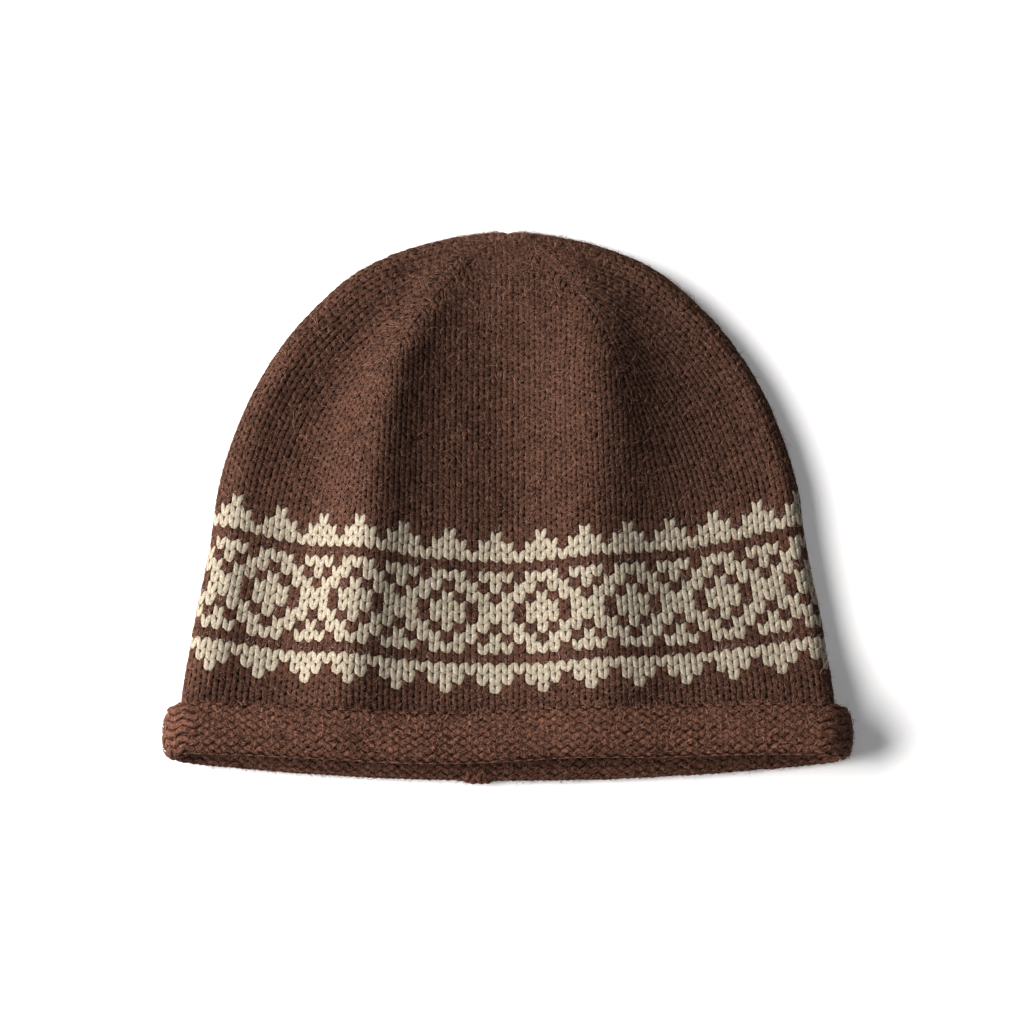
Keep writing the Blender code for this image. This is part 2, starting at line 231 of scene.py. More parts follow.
def fold_height(x, y):
    share = np.asarray(y) / LENGTH
    s = np.asarray(x) / (half_width(y) + 1e-9)
    total = np.zeros(np.shape(s))
    for row in FOLDS:
        line = np.interp(share, FOLD_STATIONS, row[0:5])
        rise = np.interp(share, FOLD_STATIONS, row[6:11])
        total = total + rise * FOLD_DEPTH * np.exp(-((s - line) / row[5]) ** 2)
    return total * smooth(*FOLDS_RISE, share) * (1.0 - smooth(*FOLDS_FALL, share))


def layer_heights(x, y):
    """Outer heights of the back layer and of the front layer over a point."""
    d = edge_distance(x, y)
    f = np.clip(d / EDGE_RADIUS, 0.0, 1.0)
    rim = np.sqrt(np.clip(1.0 - (1.0 - f) ** 2, 0.0, 1.0))
    base = ROLL_LIFT * (1.0 - smooth(LIFT_START, LIFT_END, y))
    low = base + EDGE_RADIUS * (1.0 - rim)
    swell = spline(SWELL, np.asarray(y) / LENGTH)
    puff = PUFF * swell * smooth(PUFF_START * EDGE_RADIUS, PUFF_RUN, d) ** PUFF_BOW
    fold = fold_height(x, y) * smooth(FOLD_START * EDGE_RADIUS, FOLD_RUN, d)
    return low, base + EDGE_RADIUS * (1.0 + rim) + puff + fold


def zone_course(c):
    """Side point, front and back centre and bow of the course at c, 0 to 3."""
    c = min(max(c, 0.0), 3.0)
    i = min(int(c), 2)
    f = c - i
    a, b = COURSES[i], COURSES[i + 1]
    front = (a[0] + (b[0] - a[0]) * f) * LENGTH
    back = (a[2] + (b[2] - a[2]) * f) * LENGTH
    bow = a[3] + (b[3] - a[3]) * f
    if i < 2:
        side_y = (a[1] + (b[1] - a[1]) * f) * LENGTH
        return float(half_width(side_y)), side_y, front, back, bow
    start = np.interp(COURSES[2][1] * LENGTH, EDGE_Y, EDGE_RUN)
    run = start + (EDGE_RUN[-1] - start) * f
    return float(np.interp(run, EDGE_RUN, EDGE_X)), float(np.interp(run, EDGE_RUN, EDGE_Y)), front, back, bow


def ring(c, around):
    """Outer face of the course at c, at shares of the way round, and its length."""
    side_x, side_y, front, back, bow = zone_course(c)
    phi = 0.5 * math.pi * np.sin(0.5 * math.pi * np.linspace(0.0, 1.0, 260))
    sn, cs = np.sin(phi), np.cos(phi)
    wave_share = max(0.0, 1.0 - c / 1.2)
    place = (around % 1.0) * 4.0
    quarter = np.minimum(place.astype(int), 3)
    result = np.zeros((len(around), 3))
    lengths = []
    sides = ((1, front, True), (1, back, False), (-1, back, False), (-1, front, True))
    for q, (sign, centre, is_front) in enumerate(sides):
        x = sign * side_x * sn
        y = side_y - (side_y - centre) * cs ** bow
        if is_front:
            wave = ROLL_HALF_DEPTH * spline(ROLL_WAVE, sign * sn) * smooth(0.0, 0.35, cs)
            y = y + wave_share * wave
        low, high = layer_heights(x, y)
        pts = np.stack([x, y, high if is_front else low], axis=1)
        if (sign > 0) != is_front:
            pts = pts[::-1]
        run = np.concatenate([[0.0], np.cumsum(np.linalg.norm(np.diff(pts, axis=0), axis=1))])
        lengths.append(run[-1])
        if run[-1] < 1e-9:
            run = np.linspace(0.0, 1.0, len(pts))
        pick = quarter == q
        at = (place[pick] - q) * run[-1]
        for axis in range(3):
            result[pick, axis] = np.interp(at, run, pts[:, axis])
    return result, lengths


def curl_middle(base, out_dir, theta, gain):
    """Middle of the wall along the curl, at one angle of its turn."""
    half_y = ROLL_HALF_DEPTH - ROLL_PITCH * theta / (2 * math.pi)
    half_z = ROLL_HALF_HEIGHT - ROLL_PITCH * theta / (2 * math.pi)
    rise = ROLL_HALF_HEIGHT - half_z * math.cos(theta)
    pts = base + out_dir * (rise * gain)[:, None]
    pts[:, 1] -= half_y * math.sin(theta)
    return pts


class Face:
    """One face of the cloth as a fine grid of courses and columns."""

    def __init__(self, points, normals, step):
        self.points = points.astype(np.float32)
        self.normals = normals.astype(np.float32)
        self.step = step

    def at(self, course, around):
        """Places and outward directions at courses and shares of the way round."""
        rows, columns = self.points.shape[:2]
        row = np.clip(np.asarray(course) / self.step, 0.0, rows - 1.0001)
        column = (np.asarray(around) % 1.0) * columns
        i = row.astype(int)
        j = np.minimum(column.astype(int), columns - 1)
        f = (row - i)[..., None].astype(np.float32)
        g = (column - j)[..., None].astype(np.float32)
        k = (j + 1) % columns
        found = []
        for grid in (self.points, self.normals):
            low = grid[i, j] * (1 - g) + grid[i, k] * g
            high = grid[i + 1, j] * (1 - g) + grid[i + 1, k] * g
            found.append(low * (1 - f) + high * f)
        return found[0], unit(found[1])


def share_of_zone(course):
    """The solids' own measure of a course, 0 to 3, from its number."""
    if course <= BAND_START:
        return course / BAND_START
    if course <= CROWN_START:
        return 1.0 + (course - BAND_START) / (CROWN_START - BAND_START)
    return 2.0 + (course - CROWN_START) / (CROWN_END - CROWN_START)


class Cloth:
    """The hat's knitting: its body, its roll, and how long each quarter is."""

    def __init__(self):
        around = np.arange(GRID_COLUMNS) / GRID_COLUMNS
        shift = np.array([0.0, CAD_HIGH.y - LENGTH, 0.0])
        levels = np.arange(0, 2 * CROWN_END + 1) / 2.0
        rings = [ring(share_of_zone(c), around) for c in levels]
        points = np.array([r[0] for r in rings])
        self.levels = levels
        self.quarters = np.array([r[1] for r in rings])
        along = np.roll(points, -1, axis=1) - np.roll(points, 1, axis=1)
        up = np.gradient(points, axis=0)
        normals = unit(np.cross(along, up))
        normals[-1] = np.array([0.0, 1.0, 0.0])
        self.body = Face(points + shift, normals, 0.5)
        out_dir = normals[0].copy()
        out_dir[:, 1] = 0.0
        out_dir = unit(out_dir)
        base = points[0] - out_dir * (0.5 * WALL)
        gain = 1.0 + ROLL_SIDE_GAIN * np.abs(out_dir[:, 0]) ** 1.5
        seam = np.exp(-((points[0, :, 0] - SEAM_X) / SEAM_HALF_WIDTH) ** 4) * (out_dir[:, 2] < -0.5)
        fine = np.linspace(0.0, ROLL_TURN, 900)
        trace = np.array([curl_middle(base[:1], out_dir[:1], t, gain[:1])[0] for t in fine])
        run = np.concatenate([[0.0], np.cumsum(np.linalg.norm(np.diff(trace, axis=0), axis=1))])
        self.roll_courses = int(run[-1] / ROLL_COURSE)
        grid = np.arange(0, self.roll_courses * ROLL_GRID + 1) / ROLL_GRID
        self.turns = np.interp(grid * ROLL_COURSE, run, fine)
        shown, inner, facing = [], [], []
        for theta in self.turns:
            here = curl_middle(base, out_dir, theta, gain)
            tangent = unit(curl_middle(base, out_dir, theta + 0.02, gain)
                           - curl_middle(base, out_dir, theta - 0.02, gain))
            side = unit(np.cross(np.roll(here, -1, axis=0) - np.roll(here, 1, axis=0), tangent))
            want = math.cos(theta) * out_dir
            want[:, 1] += math.sin(theta)
            side = side * np.sign(np.einsum("ij,ij->i", side, want))[:, None]
            span = float(smooth(math.radians(25), math.radians(70), theta))
            span = span * (1.0 - float(smooth(math.radians(105), math.radians(150), theta)))
            bump = SEAM_RISE * seam * span
            shown.append(here - side * (0.5 * WALL + bump)[:, None])
            inner.append(here + side * (0.5 * WALL))
            facing.append(-side)
        self.roll = Face(np.array(shown) + shift, np.array(facing), 1.0 / ROLL_GRID)
        self.roll_inner = Face(np.array(inner) + shift, -np.array(facing), 1.0 / ROLL_GRID)

    def turn_to_course(self, degrees):
        """Course on the roll at an angle of its turn."""
        grid = np.arange(len(self.turns)) / ROLL_GRID
        return float(np.interp(math.radians(degrees), self.turns, grid))

    def quarter_length(self, quarter, course):
        return np.interp(course, self.levels, self.quarters[:, quarter])


_made = {}


def cloth():
    if "cloth" not in _made:
        _made["cloth"] = Cloth()
    return _made["cloth"]


class Skein:
    """Gathers many small lengths of yarn into one mesh."""

    def __init__(self):
        self.count = 0
        self.points, self.quads, self.triangles = [], [], []
        self.yarn, self.tint, self.crest, self.places = [], [], [], []

    def add(self, points, quads, triangles, yarn, tint, crest, places):
        self.points.append(points.reshape(-1, 3))
        if len(quads):
            self.quads.append(quads.reshape(-1, 4) + self.count)
        if len(triangles):
            self.triangles.append(triangles.reshape(-1, 3) + self.count)
        self.yarn.append(yarn.reshape(-1, 3))
        self.tint.append(tint.reshape(-1))
        self.crest.append(crest.reshape(-1))
        self.places.append(places.reshape(-1, 2))
        self.count += len(self.points[-1])

    def make(self, name, finish, slot):
        """The mesh object, riding on the hat."""
        points = np.concatenate(self.points).astype(np.float32)
        points[:, 2] = np.maximum(points[:, 2], FLOOR_CLEAR)
        quads = np.concatenate(self.quads) if self.quads else np.zeros((0, 4), int)
        triangles = np.concatenate(self.triangles) if self.triangles else np.zeros((0, 3), int)
        corners = np.concatenate([quads.ravel(), triangles.ravel()]).astype(np.int32)
        starts = np.concatenate([np.arange(len(quads)) * 4,
                                 len(quads) * 4 + np.arange(len(triangles)) * 3]).astype(np.int32)
        mesh = bpy.data.meshes.new(name)
        mesh.vertices.add(len(points))
        mesh.vertices.foreach_set("co", points.ravel())
        mesh.loops.add(len(corners))
        mesh.loops.foreach_set("vertex_index", corners)
        mesh.polygons.add(len(starts))
        mesh.polygons.foreach_set("loop_start", starts)
        mesh.update(calc_edges=True)
        mesh.polygons.foreach_set("use_smooth", np.ones(len(starts), bool))
        yarn = mesh.attributes.new("yarn", "FLOAT_VECTOR", "POINT")
        yarn.data.foreach_set("vector", np.concatenate(self.yarn).astype(np.float32).ravel())
        for key, values in (("tint", self.tint), ("crest", self.crest)):
            layer = mesh.attributes.new(key, "FLOAT", "POINT")
            layer.data.foreach_set("value", np.concatenate(values).astype(np.float32))
        places = np.clip(np.concatenate(self.places), 0.0, 1.0).astype(np.float32)
        layer = mesh.uv_layers.new(name="OFBake")
        layer.data.foreach_set("uv", places[corners].ravel())
        mesh.validate()
        obj = bpy.data.objects.new(name, mesh)
        bpy.context.scene.collection.objects.link(obj)
        mesh.materials.append(finish)
        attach(obj, "root")
        return obj


class Flow:
    """A node's output, written in plain arithmetic."""

    def __init__(self, finish, socket):
        self.finish = finish
        self.socket = socket

    def math(self, operation, *others):
        values = {i: v for i, v in enumerate((self, *others))}
        return self.finish.node("ShaderNodeMath", {"operation": operation}, values)

    def __add__(self, other):
        return self.math("ADD", other)

    def __sub__(self, other):
        return self.math("SUBTRACT", other)

    def __mul__(self, other):
        return self.math("MULTIPLY", other)

    def __radd__(self, other):
        return self.math("ADD", other)

    def __rsub__(self, other):
        return self.finish.node("ShaderNodeMath", {"operation": "SUBTRACT"}, {0: other, 1: self})

    def sine(self):
        return self.math("SINE")

    def clamped(self):
        return self.finish.node("ShaderNodeClamp", {}, {"Value": self}, "Result")

    def between(self, low, high):
        """0 below low, 1 above high, and smooth between."""
        return self.finish.node("ShaderNodeMapRange", {"interpolation_type": "SMOOTHSTEP"},
                                {"Value": self, "From Min": low, "From Max": high}, "Result")


class Finish:
    """A material, and the one way its nodes are made."""

    def __init__(self, name):
        self.material = bpy.data.materials.new(name)
        self.material.use_nodes = True
        self.tree = self.material.node_tree
        self.shader = self.tree.nodes["Principled BSDF"]

    def node(self, kind, settings, values, output=0):
        """Adds a node, its settings first and then its sockets, and gives one output."""
        made = self.tree.nodes.new(kind)
        for key, value in settings.items():
            setattr(made, key, value)
        for key, value in values.items():
            self.feed(self.socket_of(made.inputs, key), value)
        return Flow(self, self.socket_of(made.outputs, output))

    def socket_of(self, sockets, key):
        if isinstance(key, int):
            return sockets[key]
        named = [s for s in sockets if s.identifier == key]
        return named[0] if named else sockets[key]

    def feed(self, socket, value):
        if isinstance(value, Flow):
            self.tree.links.new(value.socket, socket)
        elif isinstance(value, tuple) and len(value) == 3 and socket.type == "RGBA":
            socket.default_value = (*value, 1.0)
        else:
            socket.default_value = value

    def mix(self, share, first, second):
        """Colour between two colours."""
        return self.node("ShaderNodeMix", {"data_type": "RGBA"},
                         {"Factor_Float": share, "A_Color": first, "B_Color": second}, "Result_Color")

    def scaled(self, vector, factors):
        return self.node("ShaderNodeVectorMath", {"operation": "MULTIPLY"}, {0: vector, 1: factors})

    def noise(self, vector, scale, detail=2.0, rough=0.5):
        return self.node("ShaderNodeTexNoise", {}, {"Vector": vector, "Scale": scale, "Detail": detail,
                                                    "Roughness": rough}, "Fac")

    def attribute(self, name, output):
        return self.node("ShaderNodeAttribute", {"attribute_name": name}, {}, output)

    def parts(self, vector):
        return [self.node("ShaderNodeSeparateXYZ", {}, {0: vector}, i) for i in range(3)]

    def set(self, **values):
        names = {"colour": "Base Color", "rough": "Roughness", "metal": "Metallic",
                 "sheen": "Sheen Weight", "sheen_rough": "Sheen Roughness", "sheen_tint": "Sheen Tint",
                 "specular": "Specular IOR Level", "normal": "Normal",
                 "glow": "Emission Color", "glow_strength": "Emission Strength"}
        for key, value in values.items():
            self.feed(self.shader.inputs[names[key]], value)
        return self.material


def wool(name, light, dark, deep, streak=0.5, heather=1.0, shade=0.25):
    """Heathered wool yarn: mottled along the strand, streaked by its fibres, and darkened by painted shade
    where it lies low, away from its crest, between the stitches.
    """
    f = Finish(name)
    place = f.node("ShaderNodeTexCoord", {}, {}, "Object")
    yarn = f.attribute("yarn", "Vector")
    tint = f.attribute("tint", "Fac")
    crest = f.attribute("crest", "Fac")
    speck = f.noise(place, 1700.0, 2.0, 0.7)
    mottle = f.noise(place, 700.0, 2.0, 0.6)
    cloud = f.noise(place, 95.0, 2.0)
    fibre = f.noise(f.scaled(yarn, (0.55, 11.0, 37.0)), 1.0, 3.0, 0.65)
    hair = f.noise(f.scaled(yarn, (0.9, 23.0, 61.0)), 1.0, 1.0)
    blend = 0.5 + (mottle - 0.5) * (1.7 * heather) + (cloud - 0.5) * (0.6 * heather) + tint * (0.07 * heather)
    blend = blend + (fibre - 0.5) * streak + (speck - 0.5) * (2.8 * heather)
    colour = f.mix(blend.clamped(), dark, light)
    pale = tuple(min(0.65, c * 1.8 + 0.02) for c in light)
    colour = f.mix(speck.between(0.56, 0.72) * 0.5 + hair.between(0.62, 0.74) * 0.25, colour, pale)
    # Painted shade: where the yarn lies low, away from its crest, the colour goes toward the deep colour, by
    # up to the shade share.
    colour = f.mix((1.0 - crest.between(0.05, 0.80)) * shade, colour, deep)
    height = fibre * 0.4 + hair * 0.2 + mottle * 0.4 + speck * 0.6
    bump = f.node("ShaderNodeBump", {}, {"Height": height, "Strength": 0.6, "Distance": 0.00040})
    return f.set(colour=colour, rough=0.92 + (fibre - 0.5) * 0.10, metal=0.0, sheen=0.10,
                 sheen_rough=0.45, sheen_tint=(*light, 1.0), specular=0.06, normal=bump)


def cloth_back(name, light, dark, second=None):
    """The reverse side of knitting: rows of small bumps, heathered as the yarn is, with painted shade in the
    dips between the rows. Where the cloth's tint is 1 it takes the second colour."""
    f = Finish(name)
    place = f.node("ShaderNodeTexCoord", {}, {}, "Object")
    yarn = f.attribute("yarn", "Vector")
    wale, course, _ = f.parts(yarn)
    wave = (wale * (2 * math.pi)).sine()
    rows = ((course + wave * 0.28) * (2 * math.pi)).sine() * 0.5 + 0.5
    mottle = f.noise(place, 700.0, 3.0, 0.6)
    cloud = f.noise(place, 90.0, 2.0)
    # The colour follows the rows of bumps too, lighter on their tops and darker in the dips between them:
    # painted shade.
    blend = 0.35 + (mottle - 0.5) * 1.2 + (cloud - 0.5) * 0.7 + (rows - 0.5) * 0.5
    colour = f.mix(blend.clamped(), dark, light)
    if second:
        colour = f.mix(f.attribute("tint", "Fac"), colour, second)
    bump = f.node("ShaderNodeBump", {}, {"Height": rows + mottle * 0.35, "Strength": 0.9, "Distance": 0.0009})
    return f.set(colour=colour, rough=0.90 + (mottle - 0.5) * 0.1, metal=0.0, sheen=0.2,
                 sheen_rough=0.5, sheen_tint=(*light, 1.0), specular=0.15, normal=bump)


# A stitch's leg, from its foot to its head: share of its length, how full the
# yarn is there, and how high its middle lies.
LEG = (
    (0.00, 0.00, -0.00050),
    (0.12, 0.78, -0.00030),
    (0.38, 1.00, -0.00016),
    (0.64, 1.00, -0.00018),
    (0.90, 0.76, -0.00036),
    (1.00, 0.00, -0.00056),
)
PLAIN_LEG = (LEG[0], (0.16, 0.88, -0.00028), (0.50, 1.00, -0.00016), (0.86, 0.86, -0.00034), LEG[5])
LEG_ANGLES = np.radians([0, 60, 120, 180, 270])
LEG_START = np.array([0.03, -0.56])
LEG_END = np.array([0.46, 0.86])


def leg(side, half_width, half_height, wide, tall, stations):
    """One leg of a V stitch: fabric places, heights, yarn measures and faces."""
    size = np.array([wide, tall])
    run = (LEG_END - LEG_START) * size
    length = np.linalg.norm(run)
    across = np.array([run[1], -run[0]]) / length
    sides = len(LEG_ANGLES)
    spots, lifts, yarn, crest = [], [], [], []
    for t, full, height in stations[1:-1]:
        middle = LEG_START * size + run * t
        for k, angle in enumerate(LEG_ANGLES):
            push = across * (math.cos(angle) * half_width * full)
            rise = math.sin(angle) * half_height * (1.0 if k < sides - 1 else 0.55)
            spots.append((middle + push) / size)
            lifts.append(height + rise)
            yarn.append((t * length * 1000, k / sides, 0.0))
            # crest: how near the top of the yarn a point lies; the wool darkens low points with painted
            # shade.
            crest.append(max(0.0, math.sin(angle)) * (0.35 + 0.65 * math.sin(math.pi * t)))
    for t, _, height in (stations[0], stations[-1]):
        spots.append(LEG_START + (LEG_END - LEG_START) * t)
        lifts.append(height)
        yarn.append((t * length * 1000, 0.3, 0.0))
        crest.append(0.0)
    spots = np.array(spots)
    quads, triangles = [], []
    rings = len(stations) - 2
    last = (rings - 1) * sides
    foot = rings * sides
    for k in range(sides):
        n = (k + 1) % sides
        for r in range(0, last, sides):
            quads.append((r + k, r + n, r + sides + n, r + sides + k))
        triangles.append((foot, n, k))
        triangles.append((foot + 1, last + k, last + n))
    quads, triangles = np.array(quads), np.array(triangles)
    if side < 0:
        spots = spots * np.array([-1.0, 1.0])
        quads, triangles = quads[:, ::-1], triangles[:, ::-1]
    return spots, np.array(lifts), np.array(yarn), np.array(crest), quads, triangles


def seam_furrow(points, normals):
    """How far the stitches beside the back seam are drawn in."""
    y = points[..., 1] - (CAD_HIGH.y - LENGTH)
    line = SEAM_X * np.clip(1.0 - y / LENGTH, 0.0, 1.0)
    near = np.exp(-((points[..., 0] - line) / 0.0013) ** 2)
    return near * (normals[..., 2] < -0.3)


def lay_legs(skein, rng, place, count, cell, yarn_size, lift, tint, uv_of, stations=LEG):
    """Lays a V stitch at each of a zone's stitches. place gives course and way round of
    each stitch's own points, from the stitch's number and the point's place in it."""
    face = cloth().body
    slack = rng.normal(0.0, 1.0, (count, 5))
    for side in (-1, 1):
        spots, lifts, yarn, crest, quads, triangles = leg(
            side, yarn_size[0], yarn_size[1], cell[0], cell[1], stations)
        a = spots[None, :, 0] * (1 + 0.03 * slack[:, 0:1]) + 0.018 * slack[:, 1:2]
        b = spots[None, :, 1] + 0.035 * slack[:, 2:3]
        course, around = place(a, b)
        points, normals = face.at(course, around)
        height = lifts[None, :] + lift[:, None] + 0.00006 * slack[:, 3:4]
        height = height - 0.0007 * seam_furrow(points, normals)
        laid = points + normals * height[..., None]
        n = len(spots)
        offset = (np.arange(count) * n)[:, None, None]
        measure = np.tile(yarn[None], (count, 1, 1))
        measure[..., 2] = rng.uniform(0.0, 10.0, (count, 1))
        skein.add(laid, quads[None] + offset, triangles[None] + offset, measure,
                  np.repeat(tint[:, None], n, axis=1) + 0.0 * b,
                  np.tile(crest[None], (count, 1)), uv_of(course, around))


def patchy(rng, course, around, smoothness=5.0):
    """Tint of each stitch: its own draw, and slow drifts along the yarn's courses."""
    own = rng.normal(0.0, 0.75, len(course))
    drift = np.sin(course * 1.7 + np.sin(around * 40.0) * 2.0) * np.sin(around * 2 * math.pi * smoothness)
    return np.clip(own + 0.5 * drift, -2.0, 2.0)


def sheet_skein(outer, inner, courses, around):
    """A closed band of cloth between an outer and an inner grid of points."""
    outer, inner = np.array(outer), np.array(inner)
    rows, columns = outer.shape[:2]
    points = np.concatenate([outer.reshape(-1, 3), inner.reshape(-1, 3)])
    shift = rows * columns
    k = np.arange(columns)
    n = (k + 1) % columns
    quads = []
    for r in range(rows - 1):
        a, b = r * columns + k, r * columns + n
        quads.append(np.stack([a, b, b + columns, a + columns], 1))
        quads.append(np.stack([a, a + columns, b + columns, b], 1) + shift)
    a, b = k, n
    quads.append(np.stack([a, a + shift, b + shift, b], 1))
    a, b = (rows - 1) * columns + k, (rows - 1) * columns + n
    quads.append(np.stack([a, b, b + shift, a + shift], 1))
    measure = np.zeros((2, rows, columns, 3))
    measure[..., 0] = (around * WALES)[None, None, :]
    measure[..., 1] = np.asarray(courses)[None, :, None]
    places = np.zeros((2, rows, columns, 2))
    places[..., 0] = around[None, None, :]
    share = np.linspace(0.0, 1.0, rows)
    places[0, ..., 1] = (0.5 * share)[:, None]
    places[1, ..., 1] = (0.5 + 0.5 * share)[:, None]
    skein = Skein()
    zeros = np.zeros(2 * shift)
    skein.add(points, np.concatenate(quads), np.zeros((0, 3), int), measure, zeros, zeros, places)
    return skein


SHEET_DEPTH = 0.0003     # how far the backing lies under the tops of the stitches
SHEET_GAP = 0.06         # between the backings of two zones, in courses


def is_cream(course, wale):
    """Whether the chart has cream at a course and wale."""
    chart = np.array([[c == "C" for c in row] for row in CHART])
    row = np.clip(np.floor(course).astype(int) - BAND_START, 0, len(CHART) - 1)
    return chart[row, (np.floor(wale + 0.5).astype(int) - CHART_SHIFT) % 8]


def body_sheet(first, last, wall, gap_first, gap_last, per_course=1):
    """Backing of one zone of the body, from one course to another."""
    around = np.arange(2 * WALES) / (2 * WALES)
    courses = np.linspace(first + gap_first, last - gap_last, int(last - first) * per_course + 1)
    outer, inner = [], []
    for c in courses:
        points, normals = cloth().body.at(np.full(len(around), c), around)
        outer.append(points - normals * SHEET_DEPTH)
        inner.append(points - normals * wall)
    return sheet_skein(outer, inner, courses, around)


def close_tip(sheet, columns):
    """Draws the last course of a backing together to a point, outside and inside."""
    points = sheet.points[0]
    count = len(points)
    shift = count // 2
    k = np.arange(columns)
    a = shift - columns + k
    b = shift - columns + (k + 1) % columns
    ends = np.array([points[shift - columns:shift].mean(0), points[count - columns:].mean(0)])
    sheet.quads[0] = sheet.quads[0][:-columns]
    sheet.add(ends, np.zeros((0, 4), int), np.zeros((0, 3), int),
              np.array([[0.0, CROWN_END, 0.0]] * 2), np.zeros(2), np.zeros(2),
              np.array([[0.5, 0.5], [0.5, 1.0]]))
    sheet.triangles.append(np.stack([a, b, np.full(columns, count)], 1))
    sheet.triangles.append(np.stack([b + shift, a + shift, np.full(columns, count + 1)], 1))


def colour_setting(name, description, default):
    return bpy.props.FloatVectorProperty(name=name, description=description, subtype="COLOR",
                                         size=3, min=0.0, max=1.0, default=default)


def length_setting(name, description, default, low, high):
    return bpy.props.FloatProperty(name=name, description=description, subtype="DISTANCE",
                                   unit="LENGTH", default=default, min=low, max=high)


def angle_setting(name, description, *degrees):
    default, low, high = (math.radians(d) for d in degrees)
    return bpy.props.FloatProperty(name=name, description=description, subtype="ANGLE",
                                   unit="ROTATION", default=default, min=low, max=high)


class BeanieYarn(bpy.types.PropertyGroup):
    """Wool colours and the size of the yarn."""

    brown: colour_setting("Brown wool", "Lit colour of the brown yarn", (0.135, 0.072, 0.051))
    brown_dark: colour_setting("Dark fibres", "The darker fibres spun into the brown", (0.042, 0.022, 0.017))
    roll_brown: colour_setting(
        "Brim wool", "Lit colour of the reverse side that the brim shows", (0.220, 0.107, 0.074))
    cream: colour_setting("Cream wool", "Lit colour of the cream yarn", (0.44, 0.38, 0.31))
    cream_dark: colour_setting("Cream shade", "The darker fibres spun into the cream", (0.28, 0.245, 0.19))
    half_width: length_setting(
        "Yarn half width", "Half the width of a stitch's leg", 0.00110, 0.0004, 0.002)
    half_height: length_setting(
        "Yarn half height", "Half the height of a stitch's leg", 0.00034, 0.0003, 0.002)
    roll_half_width: length_setting(
        "Brim yarn half width", "Half the width of a course on the brim", 0.00122, 0.0004, 0.002)


class BeanieFuzz(bpy.types.PropertyGroup):
    """The loose fibres that stand off the wool."""

    count: bpy.props.IntProperty(
        name="Fibres", description="How many loose fibres are laid on the hat", default=85000,
        min=0, max=120000)
    length: length_setting("Fibre length", "Usual length of a loose fibre", 0.0019, 0.001, 0.012)
    width: length_setting("Fibre width", "Width of a loose fibre at its root", 0.00009, 0.00002, 0.0003)


class BeanieStage(bpy.types.PropertyGroup):
    """The surface the hat lies on, its light and its camera."""

    floor: colour_setting("Floor", "Colour of the plain surface", (0.86, 0.86, 0.87))
    key: bpy.props.FloatProperty(
        name="Key light", description="Strength of the soft light from the left",
        unit="POWER", default=140.0, min=0.0, max=600.0)
    key_distance: length_setting("Key distance", "From the key light to the hat", 2.2, 0.5, 5.0)
    key_height: angle_setting("Key height", "Angle of the key light above the horizon", 37.0, 0.0, 90.0)
    key_side: angle_setting(
        "Key side", "Angle of the key light from the hat's left toward its top", 1.0, -180.0, 180.0)
    key_size: length_setting("Key size", "Width of the key light", 2.00, 0.05, 3.0)
    surround: bpy.props.FloatProperty(
        name="Surrounding light", description="Strength of the even light from all round",
        default=0.12, min=0.0, max=5.0)
    glow: bpy.props.FloatProperty(
        name="Glow", description="Light that the pale surface lets through from below",
        default=0.28, min=0.0, max=2.0)
    depth: bpy.props.FloatProperty(
        name="Depth", description="Gamma of the picture, lower for deeper shadows", default=0.80,
        min=0.5, max=1.5)
    elevation: angle_setting("Camera elevation", "Angle of the camera above the horizon", 77.0, 0.0, 90.0)
    distance: length_setting("Camera distance", "From the camera to the middle of the hat", 0.972, 0.3, 3.0)


def scaled_colour(colour, share):
    return tuple(c * share for c in colour)


def made_wool(name, light, dark, painted_shade_share, *looks):
    """A yarn's finish, made when it is first asked for."""
    if name not in _made:
        # The deep colour is painted shade for the yarn's low sides and the gaps between stitches: the dark
        # fibres' colour at a share.
        _made[name] = wool(name, tuple(light), tuple(dark), scaled_colour(dark, painted_shade_share), *looks)
    return _made[name]


def brown_wool():
    y = bpy.context.scene.beanie_yarn
    return made_wool("brown_wool", y.brown, y.brown_dark, 0.45)


def brim_wool():
    y = bpy.context.scene.beanie_yarn
    return made_wool("brim_wool", y.roll_brown, y.brown_dark, 0.45)


def cream_wool():
    y = bpy.context.scene.beanie_yarn
    return made_wool("cream_wool", y.cream, y.cream_dark, 0.55, 0.7, 0.95, 0.20)


